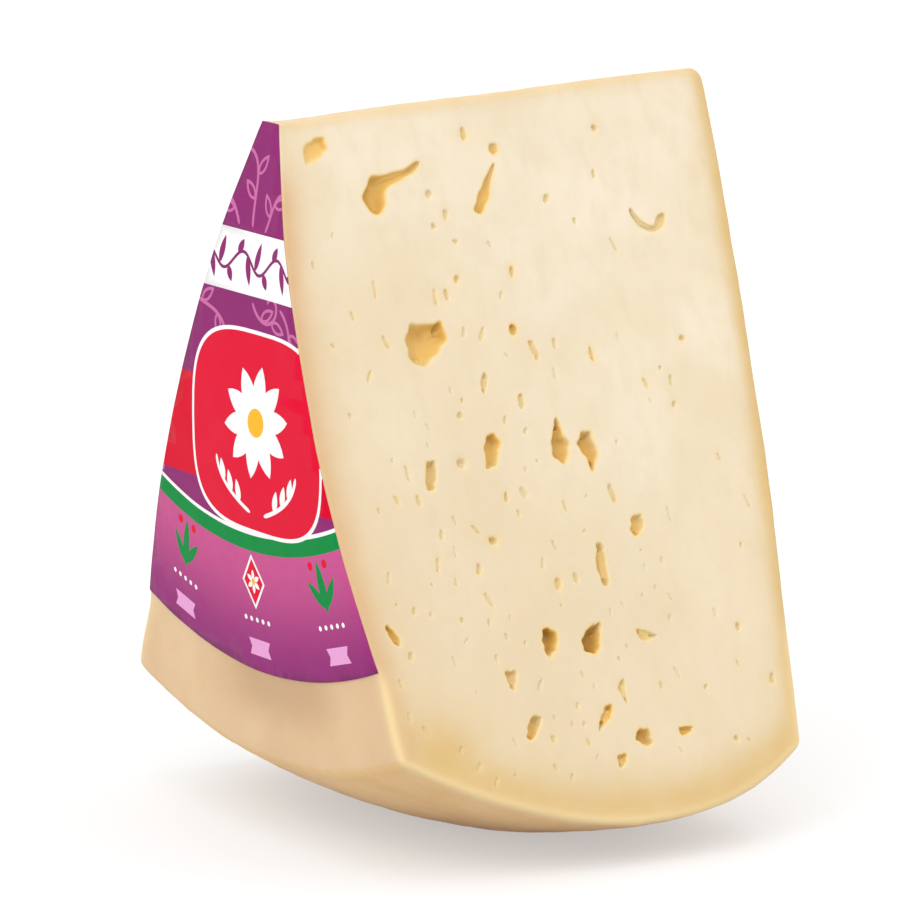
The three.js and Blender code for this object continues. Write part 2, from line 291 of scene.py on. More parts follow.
def graded(length):
    """Places from 0 to length, closer together beside the two ends."""
    ends = np.array(EDGE_STEPS)
    steps = max(2, round((length - 2 * ends[-1]) / MESH_STEP))
    middle = np.linspace(ends[-1], length - ends[-1], steps + 1)[1:-1]
    return np.concatenate([ends, middle, length - ends[::-1]])


# ---- form of the wedge ----

def label_face(down):
    share = np.minimum(down / LABEL_FACE_RADIUS, 1)
    dip = LABEL_FACE_DIP * (1 - share) ** 2
    fall = LABEL_FACE_FALL * share ** LABEL_FACE_CURVE
    lip = RIM_LIP * smooth(LABEL_RADIUS, LABEL_FACE_RADIUS, down)
    return -WHEEL_HEIGHT / 2 + dip + fall - lip


def bare_face(down):
    return WHEEL_HEIGHT / 2 - BARE_FACE_FALL * (down / BARE_FACE_RADIUS) ** 2


LEAST_DOWN = 0.5
BARE_LEAN = 0.06  # radians, near enough, of the bare face
LABEL_EDGE = float(label_face(LABEL_FACE_RADIUS))
BARE_EDGE = float(bare_face(BARE_FACE_RADIUS))


def heel_radius(across):
    label_share = np.maximum((FULLEST_LINE - across) / (FULLEST_LINE - LABEL_EDGE), 0)
    bare_share = np.maximum((across - FULLEST_LINE) / (BARE_EDGE - FULLEST_LINE), 0)
    label_fall = (WHEEL_RADIUS - LABEL_FACE_RADIUS) * label_share ** HEEL_CURVE_LABEL_SIDE
    bare_fall = (WHEEL_RADIUS - BARE_FACE_RADIUS) * bare_share ** HEEL_CURVE_BARE_SIDE
    return WHEEL_RADIUS - label_fall - bare_fall


TIP_LABEL_ACROSS = float(label_face(TIP_CUT_LABEL_SIDE))
TIP_BARE_ACROSS = float(bare_face(TIP_CUT_BARE_SIDE))
TIP_SLOPE = (TIP_CUT_LABEL_SIDE - TIP_CUT_BARE_SIDE) / (TIP_BARE_ACROSS - TIP_LABEL_ACROSS)


def tip_cut(across):
    """How far below the axis, straight down, the tip's trim lies."""
    return TIP_CUT_LABEL_SIDE - TIP_SLOPE * (across - TIP_LABEL_ACROSS)


def cylindrical(points):
    """Across, straight down from the axis, and down along the cut, for points in space."""
    across = points[:, 0] - MID_SHIFT
    below = AXIS_HEIGHT - points[:, 2]
    return across, below, np.hypot(points[:, 1], below)


def side_distances(points):
    """How far each point lies outside each side of the plain solid."""
    across, below, down = cylindrical(points)
    safe_down = np.maximum(down, LEAST_DOWN)
    slant = 1 / math.sqrt(1 + TIP_SLOPE ** 2)
    sine = math.sin(HALF_ANGLE)
    cosine = math.cos(HALF_ANGLE)
    return {
        "label": label_face(safe_down) - across,
        "bare": (across - bare_face(safe_down)) * math.cos(BARE_LEAN),
        "heel": down - heel_radius(across),
        "tip": (tip_cut(across) - below) * slant,
        "shown": -points[:, 1] * cosine - below * sine,
        "hidden": points[:, 1] * cosine - below * sine,
    }


def round_join(a, b, radius):
    """The two distances joined as a solid with its edge rounded."""
    fillet = np.hypot(np.maximum(a + radius, 0), np.maximum(b + radius, 0))
    return np.minimum(np.maximum(a, b), -radius) + fillet


def form(points):
    """Below zero inside the wedge, zero on its skin, with every edge rounded."""
    sides = side_distances(points)
    across, _, down = cylindrical(points)
    skin = round_join(sides["label"], sides["heel"], HEEL_EDGE_ROUND)
    skin = round_join(skin, sides["bare"], HEEL_EDGE_ROUND)
    tip_round = CRISP_ROUND + (TIP_CORNER_ROUND - CRISP_ROUND) * smooth(*WORN_TIP, across)
    skin = round_join(skin, sides["tip"], tip_round)
    beside_label = smooth(*BESIDE_LABEL, sides["label"]) * (1 - smooth(*LABEL_END, down))
    cut_round = CUT_EDGE_ROUND + (CRISP_ROUND - CUT_EDGE_ROUND) * beside_label
    skin = round_join(skin, sides["shown"], cut_round)
    skin = round_join(skin, sides["hidden"], cut_round)
    return np.maximum(skin, -points[:, 2])


def outward(points):
    """The direction in which form grows, and how fast."""
    slopes = []
    for axis in range(3):
        step = np.zeros(3)
        step[axis] = SLOPE_REACH
        slopes.append((form(points + step) - form(points - step)) / (2 * SLOPE_REACH))
    slopes = np.stack(slopes, axis=1)
    pace = np.maximum(np.linalg.norm(slopes, axis=1), LEAST_PACE)
    return slopes / pace[:, None], pace


def settle(points):
    """Moves points of the sharp solid onto the rounded skin."""
    for _ in range(SETTLE_STEPS):
        direction, pace = outward(points)
        points = points - direction * (form(points) / pace)[:, None]
    return points


# ---- mesh of the wedge ----

def outline_rows():
    """The outline of a cut as (across, down) rows, from the tip at the label once round."""
    cosine = math.cos(HALF_ANGLE)
    tip_down = TIP_CUT_LABEL_SIDE / cosine
    downs = tip_down + graded(LABEL_FACE_RADIUS - tip_down)
    rows = [(float(label_face(down)), down) for down in downs]
    acrosses = LABEL_EDGE + graded(BARE_EDGE - LABEL_EDGE)[1:]
    rows += [(across, float(heel_radius(across))) for across in acrosses]
    tip_down = TIP_CUT_BARE_SIDE / cosine
    downs = BARE_FACE_RADIUS - graded(BARE_FACE_RADIUS - tip_down)[1:]
    rows += [(float(bare_face(down)), down) for down in downs]
    acrosses = TIP_BARE_ACROSS - graded(TIP_BARE_ACROSS - TIP_LABEL_ACROSS)[1:-1]
    rows += [(across, float(tip_cut(across)) / cosine) for across in acrosses]
    return np.array(rows)


def belt_points(rows):
    """Rows of points from the shown cut to the hidden one, over the faces, the heel and the tip."""
    fullest = 2 * HALF_ANGLE * WHEEL_RADIUS
    across, down = rows[:, :1], rows[:, 1:]
    edge_share = graded(fullest)[None, :] / fullest
    turn = HALF_ANGLE * (1 - 2 * edge_share)
    tip_down = tip_cut(across) / math.cos(HALF_ANGLE)
    curved = smooth(0, TIP_BLEND, down - tip_down)
    straight = math.cos(HALF_ANGLE) / np.cos(turn)
    reach = down * ((1 - curved) * straight + curved)
    x = np.broadcast_to(across + MID_SHIFT, reach.shape)
    y = -reach * np.sin(turn)
    z = AXIS_HEIGHT - reach * np.cos(turn)
    return np.stack([x, y, z], axis=2), edge_share.size


def on_cut(flat, side):
    """Carries (across, down) points of a cut into space. side is -1 for the shown cut."""
    across, down = flat[:, 0], flat[:, 1]
    y = side * down * math.sin(HALF_ANGLE)
    z = AXIS_HEIGHT - down * math.cos(HALF_ANGLE)
    return np.stack([across + MID_SHIFT, y, z], axis=1)


def distance_to_loop(points, loop):
    along = following(loop) - loop
    squares = np.maximum((along ** 2).sum(axis=1), TINY)
    nearest = np.full(len(points), FAR)
    for start, run, square in zip(loop, along, squares):
        share = np.clip(((points - start) @ run) / square, 0, 1)
        nearest = np.minimum(nearest, lengths(points - start - share[:, None] * run))
    return nearest


def inside_loop(points, loop):
    inside = np.zeros(len(points), bool)
    for (x0, y0), (x1, y1) in zip(loop, following(loop)):
        if y0 == y1:
            continue
        crosses = (points[:, 1] < y0) != (points[:, 1] < y1)
        inside ^= crosses & (points[:, 0] < x0 + (points[:, 1] - y0) * (x1 - x0) / (y1 - y0))
    return inside


def torn_corners(rng, width, height, lean, taper=0):
    """Corners of an eye with a few straight sides, and its spine, in mm from its middle."""
    sides = rng.integers(5, 8)
    places = np.arange(sides) + rng.uniform(-0.3, 0.3, sides)
    angles = places * 2 * math.pi / sides + rng.uniform(0, 6.28)
    reach = rng.uniform(0.8, 1.12, sides)
    up = reach * np.sin(angles)
    right = reach * np.cos(angles) * (1 - taper * np.clip(up, -1, 1))
    corners = pairs(right * width / 2, up * height / 2)
    half_spine = max(0.02, 0.3 * (height - width))
    spine = np.array([(0, half_spine), (0, -half_spine)])
    cosine, sine = toward(lean)
    turn = np.array([(cosine, -sine), (sine, cosine)])
    return corners @ turn, spine @ turn


def torn_eye(rng, across, down, width, height, lean, colour, taper=0, depth=None):
    """An eye of no shape of its own. Its depth follows its width where none is given."""
    outline = torn_corners(rng, width, height, lean, taper)
    if depth is None:
        depth = (0.2 + 0.45 * width) * (0.35 + colour)
    return across, down, outline, depth, colour, rng.uniform(0, 360)


def outlined_eye(across, down, depth, colour, shaded_side, *outline):
    return across, down, [np.reshape(part, (-1, 2)) for part in outline], depth, colour, shaded_side


def eye_outline(eye):
    """The outline in even steps, blunt at the corners and uneven on a large eye.

    With it come the spine's nearest point to each step and how far off that is.
    """
    corners, spine = (np.array(part, float) for part in eye[2])
    if polygon_area(corners) < 0:
        corners = corners[::-1]
    ends = following(corners)
    runs = lengths(ends - corners)
    count = int(max(LEAST_STEPS, round(runs.sum() / EYE_STEP)))
    places = np.arange(count) * runs.sum() / count
    starts = np.concatenate([[0], np.cumsum(runs)[:-1]])
    edge = np.searchsorted(starts, places, side="right") - 1
    share = ((places - starts[edge]) / runs[edge])[:, None]
    outline = corners[edge] * (1 - share) + ends[edge] * share
    for _ in range(max(1, round(count / STEPS_SMOOTHED))):
        before = np.roll(outline, 1, axis=0)
        outline = 0.25 * before + 0.5 * outline + 0.25 * following(outline)
    outline *= math.sqrt(polygon_area(corners) / polygon_area(outline))
    nearest = np.full(count, FAR)
    core = np.zeros_like(outline)
    for start, end in zip(spine[:-1], spine[1:]):
        run = end - start
        place = np.clip((outline - start) @ run / max(run @ run, TINY), 0, 1)
        found = start + place[:, None] * run
        gap = lengths(outline - found)
        closer = gap < nearest
        nearest[closer] = gap[closer]
        core[closer] = found[closer]
    turn = angles_round(count)
    uneven = sum(np.sin(bumps * turn + eye[0] * bumps + eye[1]) for bumps in EYE_BUMPS)
    reach = 1 + (EYE_UNEVEN * uneven if count > LARGE_OUTLINE else 0)
    return core + (outline - core) * np.reshape(reach, (-1, 1)), core, nearest


def polygon_area(corners):
    ends = following(corners)
    return float((corners[:, 0] * ends[:, 1] - ends[:, 0] * corners[:, 1]).sum() / 2)


def grown(outline, lip):
    """The outline moved outwards by a lip's width."""
    tangent = following(outline) - np.roll(outline, 1, axis=0)
    normal = pairs(tangent[:, 1], -tangent[:, 0])
    return outline + lip * normal / np.maximum(lengths(normal), 1e-6)[:, None]


def placed(eye, offsets):
    """Offsets to the right and up, as places on the cut."""
    return pairs(eye[0] + offsets[:, 0], eye[1] - offsets[:, 1])


def eye_points(eye):
    """An eye's points on the cut, with each one's depth and colour; the colour holds painted shade,
    deeper down and on one wall.
    """
    _, _, _, depth, colour, shaded_side = eye
    outline, core, width = eye_outline(eye)
    count = len(outline)
    small = polygon_area(outline) < SMALL_EYE ** 2
    away = outline / lengths(outline).max()
    # Painted shade: one wall of each eye darker than the rest.
    wall = away @ np.array(toward(shaded_side))
    deep = np.clip(width / (EYE_SPREAD * width.max()), LEAST_DEPTH, 1)
    flats, depths, tones = [], [], []
    for lip in EYE_LIPS[:1] if small else EYE_LIPS:
        flats.append(grown(outline, lip))
        depths.append(np.zeros(count))
        tones.append(np.full(count, LIP_TONE * colour if lip == EYE_LIPS[0] else 0))
    for share, sunk, painted in FLECK_RINGS if small else EYE_RINGS:
        flats.append(core + share * (outline - core))
        depths.append(depth * sunk * deep)
        tones.append(colour * painted * (1 + EYE_WALL_SHADE * share * wall))
    return placed(eye, np.concatenate(flats)), np.concatenate(depths), np.concatenate(tones)


def hidden_eyes(rng):
    """The larger eyes of the hidden cut, by the rule of the CAD model."""
    draws = seeded_draws(HIDDEN_EYES_SEED)
    eyes = []
    sizes = []
    while len(eyes) < HIDDEN_EYES:
        down = 22 + 142 * math.sqrt(next(draws))
        across = -44 + 96 * next(draws)
        width = 2.4 + 4.6 * next(draws) ** 2
        height = width * (1.1 + 1.3 * next(draws))
        lean = 44 * (next(draws) - 0.5)
        taper = 1.1 * (next(draws) - 0.5)
        gaps = [math.hypot(x - across, y - down) / (tall + height) for x, y, tall in sizes]
        if not gaps or min(gaps) > 0.8:
            sizes.append((across, down, height))
            colour = rng.uniform(*HIDDEN_COLOURS)
            depth = 0.5 * width + 0.7
            eyes.append(torn_eye(rng, across, down, width, height, lean, colour, taper, depth))
    return eyes


def reach_of(eye):
    return float(lengths(np.array(eye[2][0])).max())


def add_scattered(eyes, count, widths, colours, rng, thin_corner):
    """Adds small eyes clear of the others. The side of the bare face may have fewer."""
    wanted = len(eyes) + count
    taken = [(eye[0], eye[1], reach_of(eye)) for eye in eyes]
    while len(eyes) < wanted:
        down = 12 + 156 * math.sqrt(rng.uniform())
        across = rng.uniform(-50, 58)
        width = rng.uniform(*widths)
        height = width * rng.uniform(1.3, 3.6)
        lean = rng.normal(0, 20)
        colour = rng.uniform(*colours)
        in_corner = across > 8 and down < 85
        beside_bare = across > 30
        if thin_corner and (in_corner or beside_bare) and rng.uniform() < 0.7:
            continue
        off_label = across - float(label_face(down))
        off_bare = float(bare_face(down)) - across
        if min(off_label, off_bare, float(heel_radius(across)) - down) < FLECK_MARGIN:
            continue
        reach = FLECK_REACH * height
        if min(math.hypot(x - across, y - down) - far for x, y, far in taken) > reach + FLECK_GAP:
            taken.append((across, down, reach))
            eyes.append(torn_eye(rng, across, down, width, height, lean, colour))
    return eyes


def cut_patch(rows, eyes, rng):
    """A cut in the flat: points, first the rows, each one's depth and colour, and triangles."""
    tangent = following(rows) - np.roll(rows, 1, axis=0)
    inward = pairs(-tangent[:, 1], tangent[:, 0])
    inward /= np.linalg.norm(inward, axis=1)[:, None]
    if not inside_loop(rows[:1] + inward[:1] * 0.5, rows)[0]:
        inward = -inward
    fills = []
    for step in EDGE_STEPS[1:]:
        ring = rows + inward * step
        fills.append(ring[distance_to_loop(ring, rows) > ROW_GAP * step])
    grid = grid_over(rows, MESH_STEP)
    grid += rng.uniform(-GRID_STRAY, GRID_STRAY, grid.shape) * MESH_STEP
    off_edge = distance_to_loop(grid, rows) > EDGE_STEPS[-1] + GRID_GAP * MESH_STEP
    fills.append(grid[inside_loop(grid, rows) & off_edge])
    fill = np.concatenate(fills)
    for eye in eyes:
        rim = placed(eye, grown(eye_outline(eye)[0], EYE_LIPS[1] + EYE_CLEAR))
        near = lengths(fill - eye[:2]) < reach_of(eye) + EYE_NEAR
        taken = np.zeros(len(fill), bool)
        taken[near] = inside_loop(fill[near], rim)
        fill = fill[~taken]
    parts = [eye_points(eye) for eye in eyes]
    plain = np.zeros(len(rows) + len(fill))
    flat = np.concatenate([rows, fill] + [part[0] for part in parts])
    depth = np.concatenate([plain] + [part[1] for part in parts])
    tone = np.concatenate([plain] + [part[2] for part in parts])
    border = [(i, (i + 1) % len(rows)) for i in range(len(rows))]
    result = delaunay_2d_cdt([Vector(point) for point in flat.tolist()], border, [], 1, 1e-6, True)
    origin = [sources[0] for sources in result[3]]
    triangles = [[origin[corner] for corner in face] for face in result[2]]
    kept = [max(face) >= len(rows) or fills_border(flat[face], rows) for face in triangles]
    return flat, depth, tone, [face for face, keep in zip(triangles, kept) if keep]


def fills_border(corners, rows):
    """Whether a triangle between outline points alone is inside it and no sliver along its edge."""
    longest = lengths(corners - np.roll(corners, 1, axis=0)).max()
    height = 2 * abs(polygon_area(corners)) / longest
    return height > LEAST_HEIGHT and bool(inside_loop(corners.mean(axis=0)[None, :], rows)[0])


def wedge_mesh():
    """The whole skin: points, faces, and each point's tone and how far it is sunk into an eye."""
    rng = np.random.default_rng(FLECK_SEED)
    rows = outline_rows()
    belt, columns = belt_points(rows)
    count = len(rows)
    points = [belt.reshape(-1, 3)]
    tone = [np.zeros(count * columns)]
    inward = [np.zeros((count * columns, 3))]
    faces = []
    for i in range(count):
        after = (i + 1) % count
        for j in range(columns - 1):
            here, there = i * columns + j, after * columns + j
            faces.append((here, here + 1, there + 1, there))
    shown = [outlined_eye(*row) for row in SHOWN_EYES]
    shown += [torn_eye(rng, *row) for row in SHOWN_SMALL_EYES]
    shown = add_scattered(shown, *SHOWN_FLECKS, rng, True)
    hidden = add_scattered(hidden_eyes(rng), *HIDDEN_SMALL_EYES, rng, False)
    hidden = add_scattered(hidden, *HIDDEN_FLECKS, rng, False)
    for side, eyes, column in ((-1, shown, 0), (1, hidden, columns - 1)):
        flat, sunk, colour, triangles = cut_patch(rows, eyes, rng)
        start = sum(len(part) for part in points) - count
        points.append(on_cut(flat[count:], side))
        into = np.array([0, -side * math.cos(HALF_ANGLE), -math.sin(HALF_ANGLE)])
        inward.append(sunk[count:, None] * into)
        tone.append(colour[count:])
        names = [i * columns + column if i < count else start + i for i in range(len(flat))]
        faces += [tuple(names[corner] for corner in triangle) for triangle in triangles]
    return np.concatenate(points), faces, np.concatenate(tone), np.concatenate(inward)


def label_relief(points):
    """How far the printed side stands out, by y and z alone, so that the label follows it."""
    return relief(LABEL_RELIEF, points * np.array([0, 1, 1]))


def roughen(points, sides):
    """Relief: a bumpy heel, soft waves on the bare face and faint knife waves on the cuts."""
    weights = np.exp(np.stack(list(sides.values())) / SIDE_BLEND)
    weights /= weights.sum(axis=0)
    weight = dict(zip(sides, weights))
    out = weight["heel"] * relief(HEEL_RELIEF, points)
    out += weight["bare"] * relief(BARE_RELIEF, points)
    out += (weight["tip"] + weight["shown"] + weight["hidden"]) * relief(CUT_RELIEF, points)
    direction, _ = outward(points)
    moved = points + direction * out[:, None]
    moved[:, 0] -= weight["label"] * label_relief(points)
    return moved, weight


# ---- materials ----

CUT_LIGHT = 1.52  # how much brighter than its own colour the shown cut looks in this light
SIDE_LIGHT = 1.34  # the same for the printed side
BRIGHTEST = 0.96  # no surface reflects more


def linear(channels):
    shares = np.array(channels) / 255
    return np.where(shares <= 0.04045, shares / 12.92, ((shares + 0.055) / 1.055) ** 2.4)


def seen(channels, light):
    """The surface colour that looks like this sRGB colour in the scene's light."""
    red, green, blue = np.minimum(linear(channels) / light, BRIGHTEST)
    return red, green, blue, 1


class Shading:
    """A material's node tree, built one call a node."""

    def __init__(self, name):
        self.material = bpy.data.materials.new(name)
        self.material.use_nodes = True
        self.nodes = self.material.node_tree.nodes
        self.links = self.material.node_tree.links
        self.nodes.clear()

    def add(self, kind, settings=None, **inputs):
        node = self.nodes.new("ShaderNode" + kind)
        for name, value in (settings or {}).items():
            setattr(node, name, value)
        for name, value in inputs.items():
            self.put(node, name.replace("_", " "), value)
        return node

    def put(self, node, name, value):
        socket = node.inputs[int(name)] if name.isdigit() else node.inputs[name]
        if isinstance(value, bpy.types.NodeSocket):
            self.links.new(value, socket)
        else:
            socket.default_value = value

    def attribute(self, name):
        return self.add("Attribute", {"attribute_name": name}).outputs["Fac"]

    def noise(self, scale, detail, stretch=(1, 1, 1)):
        coordinates = self.add("TexCoord").outputs["Object"]
        place = self.add("Mapping", Vector=coordinates, Scale=stretch).outputs["Vector"]
        return self.add("TexNoise", Vector=place, Scale=scale, Detail=detail).outputs["Fac"]

    def ramp(self, value, low, high, to_low=0, to_high=1):
        return self.add("MapRange", {"interpolation_type": "SMOOTHSTEP"}, Value=value, From_Min=low,
                        From_Max=high, To_Min=to_low, To_Max=to_high).outputs["Result"]

    def math(self, operation, first, second):
        node = self.add("Math", {"operation": operation})
        self.put(node, "0", first)
        self.put(node, "1", second)
        return node.outputs[0]

    def times(self, first, second):
        return self.math("MULTIPLY", first, second)

    def mix(self, factor, first, second):
        node = self.add("Mix", {"data_type": "RGBA"})
        self.put(node, "0", factor)
        self.put(node, "6", first)
        self.put(node, "7", second)
        return node.outputs[2]

    def layered(self, light, base, *layers):
        """Colours laid one over the other, each by its own amount."""
        surface = seen(base, light)
        for amount, channels in layers:
            surface = self.mix(amount, surface, seen(channels, light))
        return surface

    def bump(self, height, strength, distance):
        node = self.add("Bump", Height=height, Strength=strength, Distance=distance)
        return node.outputs["Normal"]

    def finish(self, **inputs):
        shader = self.add("BsdfPrincipled", **inputs)
        output = self.add("OutputMaterial")
        self.links.new(shader.outputs[0], output.inputs["Surface"])
        return self.material


def cheese_material():
    s = Shading("cheese_surface")
    broad = s.noise(38, 2)
    patchy = s.noise(150, 3)
    fine = s.noise(900, 2)
    streaks = s.noise(260, 2, (1, 1, 0.16))
    rind = s.attribute("rind")
    eye_tint_and_shade = s.attribute("eye_tint_and_shade")

    uneven = s.ramp(patchy, 0.2, 0.8, 0.9, 1.06)
    paste = s.layered(
        CUT_LIGHT, (246, 229, 198),
        (s.ramp(broad, 0.3, 0.7), (253, 239, 214)),
        (s.ramp(streaks, 0.45, 0.8, 0, 0.35), (238, 219, 184)),
        (s.ramp(patchy, 0.4, 0.75, 0, 0.3), (240, 220, 183)),
        # Painted shade: the cut darker towards the heel and towards the label's side.
        (s.attribute("cut_painted_shade"), (236, 213, 172)),
        (s.times(s.attribute("gold"), uneven), (231, 196, 131)),
        (s.times(s.attribute("tan"), uneven), (231, 190, 142)),
        # Eye colour, browner deeper in an eye: partly the eye's own tint, partly painted shade.
        (s.ramp(eye_tint_and_shade, 0, 0.3), (246, 220, 160)),
        (s.ramp(eye_tint_and_shade, 0.25, 0.6), (251, 205, 116)),
        (s.ramp(eye_tint_and_shade, 0.55, 0.85), (233, 182, 88)),
        (s.ramp(eye_tint_and_shade, 0.8, 1.1), (200, 155, 70)),
    )
    side = s.layered(
        SIDE_LIGHT, (229, 197, 155),
        (s.ramp(broad, 0.3, 0.7), (223, 188, 146)),
        # Painted shade in the dip of the printed side, below the label.
        (s.attribute("dip"), (205, 168, 128)),
        (s.ramp(patchy, 0.5, 0.75, 0, 0.12), (214, 176, 130)),
    )
    heel = s.layered(
        SIDE_LIGHT, (236, 196, 138),
        (s.ramp(broad, 0.35, 0.7), (229, 186, 126)),
        (s.ramp(fine, 0.55, 0.75, 0, 0.25), (196, 146, 88)),
        # Painted shadow at the bottom of the heel, beside the floor.
        (s.attribute("heel_floor_shadow"), (176, 124, 68)),
    )
    surface = s.mix(rind, paste, s.mix(s.attribute("heel"), side, heel))
    # Pale edge between cut and rind: partly its own paler colour, partly a painted highlight.
    surface = s.mix(s.attribute("pale_edge_and_highlight"), surface, seen((248, 222, 168), CUT_LIGHT))

    skin_height = s.math("ADD", s.times(patchy, 0.4), s.times(fine, 0.2))
    cut_height = s.math("ADD", s.times(streaks, 0.35), s.times(fine, 0.12))
    height = s.add("Mix", {"data_type": "FLOAT"})
    s.put(height, "0", rind)
    s.put(height, "2", cut_height)
    s.put(height, "3", skin_height)
    return s.finish(
        Base_Color=surface,
        Roughness=s.ramp(patchy, 0.3, 0.7, 0.5, 0.64),
        Normal=s.bump(height.outputs[0], 0.4, 0.5 * MM),
        Subsurface_Weight=0.35,
        Subsurface_Radius=(1, 0.6, 0.3),
        Subsurface_Scale=3 * MM,
        Specular_IOR_Level=0.3,
    )


# Inks of the label: name, then its sRGB colour as it looks.
INKS = {
    "purple": (145, 46, 114),
    "ring": (176, 74, 138),
    "white": (252, 250, 250),
    "red": (221, 5, 45),
    "panel": (228, 17, 54),
    "green": (6, 142, 66),
    "line": (204, 112, 166),
    "ribbon": (236, 168, 216),
    "yellow": (250, 188, 48),
}
RING_INNER = (205, 88, 146)  # beside the green ring
RING_OUTER = (149, 47, 120)  # at the edge of the label
INK_MOTTLE = 0.86  # how dark its darker patches are


def ink_material(name, channels):
    s = Shading("ink_" + name)
    if name == "ring":
        outer = s.ramp(s.attribute("radius"), GREEN_RING[1], LABEL_RADIUS)
        base = s.layered(SIDE_LIGHT, RING_INNER, (outer, RING_OUTER))
    else:
        base = seen(channels, SIDE_LIGHT)
    darker = tuple(INK_MOTTLE * value for value in seen(channels, SIDE_LIGHT)[:3]) + (1,)
    mottle = s.ramp(s.noise(300, 2), 0.35, 0.75, 0, 0.12)
    roughness = s.ramp(s.noise(180, 2), 0.3, 0.7, 0.34, 0.46)
    normal = s.bump(s.noise(1500, 1), 0.15, 0.05 * MM)
    return s.finish(
        Base_Color=s.mix(mottle, base, darker),
        Roughness=roughness,
        Normal=normal,
        Specular_IOR_Level=0.05,
    )


FLOOR_GREY = 0.42
FLOOR_GLOW = 0.445


def floor_material():
    """A floor that glows a little, as a lit acrylic sheet does, so that shadows stay pale."""
    return Shading("studio_floor").finish(
        Base_Color=(FLOOR_GREY, FLOOR_GREY, FLOOR_GREY, 1),
        Roughness=0.9,
        Specular_IOR_Level=0.1,
        Emission_Color=(1, 1, 1, 1),
        Emission_Strength=FLOOR_GLOW,
    )


# ---- the label's print, in (u, v): towards the shown cut, and down from the axis ----

WHITE_BAND = (34, 48.5)
RED_BAND = (70, 94.6)
PANEL_MIDDLE = (5.5, 80)
PANEL_HALF = (27.5, 23)
GREEN_RING = (104.5, 108.4)
WHITE_LINE = 0.9
MARK_RADIUS = 115.8
MARK_DEGREES = (-14.2, 0.8, 15.8)
RIBBON_RADIUS = 131.8
BAND_REACH = 80  # past the label's edges
VINE_WAVE = (2.3, 0.42)  # height, and radians for each mm along
VINE_LEAVES = (-20.6, 22, 3.74)  # from, to, apart


def arc(radius, reach=25, steps=64):
    angles = np.radians(np.linspace(-reach, reach, steps))
    return pairs(radius * np.sin(angles), radius * np.cos(angles))


def disc(middle, radius, count=24):
    angles = angles_round(count)
    return pairs(middle[0] + radius * np.cos(angles), middle[1] + radius * np.sin(angles))


def superellipse(middle, half, power=3.4, count=72):
    angles = angles_round(count)
    sides = [np.sign(f(angles)) * np.abs(f(angles)) ** (2 / power) for f in (np.cos, np.sin)]
    return pairs(middle[0] + half[0] * sides[0], middle[1] + half[1] * sides[1])


def turned(shape, degrees):
    cosine, sine = toward(degrees)
    u, v = shape.T
    return pairs(u * cosine + v * sine, v * cosine - u * sine)


def leaf(start, end, width):
    """A pointed leaf from one point to another."""
    start, end = np.array(start, float), np.array(end, float)
    along = end - start
    normal = np.array([along[1], -along[0]]) / np.linalg.norm(along)
    shares = np.linspace(0, 1, 9)
    swell = width / 2 * np.sin(math.pi * shares ** 0.85) ** 0.8
    middle = start + shares[:, None] * along
    right = middle + swell[:, None] * normal
    left = middle - swell[:, None] * normal
    return np.concatenate([right, left[-2:0:-1]])


def stroke(path, width):
    """A line of the given width along a path, drawn to a point at both ends."""
    path = np.array(path)
    tangent = np.gradient(path, axis=0)
    normal = pairs(tangent[:, 1], -tangent[:, 0])
    normal /= np.linalg.norm(normal, axis=1)[:, None]
    arch = np.sin(math.pi * np.linspace(0.02, 0.98, len(path)))
    swell = width / 2 * np.minimum(1, 4 * arch ** 0.8)
    return np.concatenate([path + swell[:, None] * normal, (path - swell[:, None] * normal)[::-1]])


def curl(start, heading, length, first_bend, last_bend, steps=34):
    """A path that sets off at a heading in degrees and bends more and more, by degrees per mm."""
    path = [np.array(start, float)]
    angle = heading
    pace = length / steps
    for i in range(steps):
        share = i / (steps - 1)
        angle += pace * (first_bend + (last_bend - first_bend) * share ** 2)
        right, up = toward(angle)
        path.append(path[-1] + pace * np.array([right, -up]))
    return np.array(path)


# Tendrils in the purple field: start, heading, length, first and last bend.
TENDRILS = (
    ((-1, 33), 100, 24, -2, 22),
    ((4.5, 33.5), 62, 14, 3, -30),
    ((-6.5, 33), 118, 16, 2, 34),
    ((-27, 49.5), -35, 30, 3.2, -26),
    ((2, 50), -60, 20, 6, 34),
    ((14, 50), -25, 26, -6, -24),
    ((-37.5, 96), 80, 26, -1.5, 20),
    ((-40, 70), 96, 24, -4, 18),
    ((36.5, 69.5), 100, 22, 2, -20),
    ((37.5, 97.5), 30, 15, 4, 28),
)


def field_lines():
    """Pink line-drawn tendrils, each with two leaves."""
    shapes = []
    for start, heading, length, first_bend, last_bend in TENDRILS:
        path = curl(start, heading, length, first_bend, last_bend)
        shapes.append((stroke(path, 0.85), "line"))
        for place, side in ((9, 1), (17, -1)):
            root = path[place]
            ahead = path[place + 1] - root
            out = turned((ahead / np.linalg.norm(ahead))[None, :], 48 * side)[0]
            shapes.append((leaf(root, root + 6.2 * out, 2.9), "line"))
            shapes.append((leaf(root + 0.9 * out, root + 5 * out, 1.5), "purple"))
    return shapes


def garland():
    """A vine that waves along the white band."""
    middle = sum(WHITE_BAND) / 2
    reach = np.linspace(-24, 24, 90)
    swing, pace = VINE_WAVE
    path = pairs(reach, middle + swing * np.sin(reach * pace))
    shapes = [(stroke(path, 0.8), "purple")]
    for i, across in enumerate(np.arange(*VINE_LEAVES)):
        side = 1 if i % 2 else -1
        root = (across, middle + swing * math.sin(across * pace))
        shapes.append((leaf(root, (across + 1.9, middle + side * 5.2), 2.1), "purple"))
    return shapes


def flower(middle, reach, petals, petal_width, turn=0):
    shapes = []
    for i in range(petals):
        up, right = toward(turn + i * 360 / petals)
        away = np.array([right, -up])
        petal = leaf(middle + 0.16 * reach * away, middle + reach * away, petal_width)
        shapes.append((petal, "white"))
    shapes.append((disc(middle, 0.25 * reach), "yellow"))
    return shapes


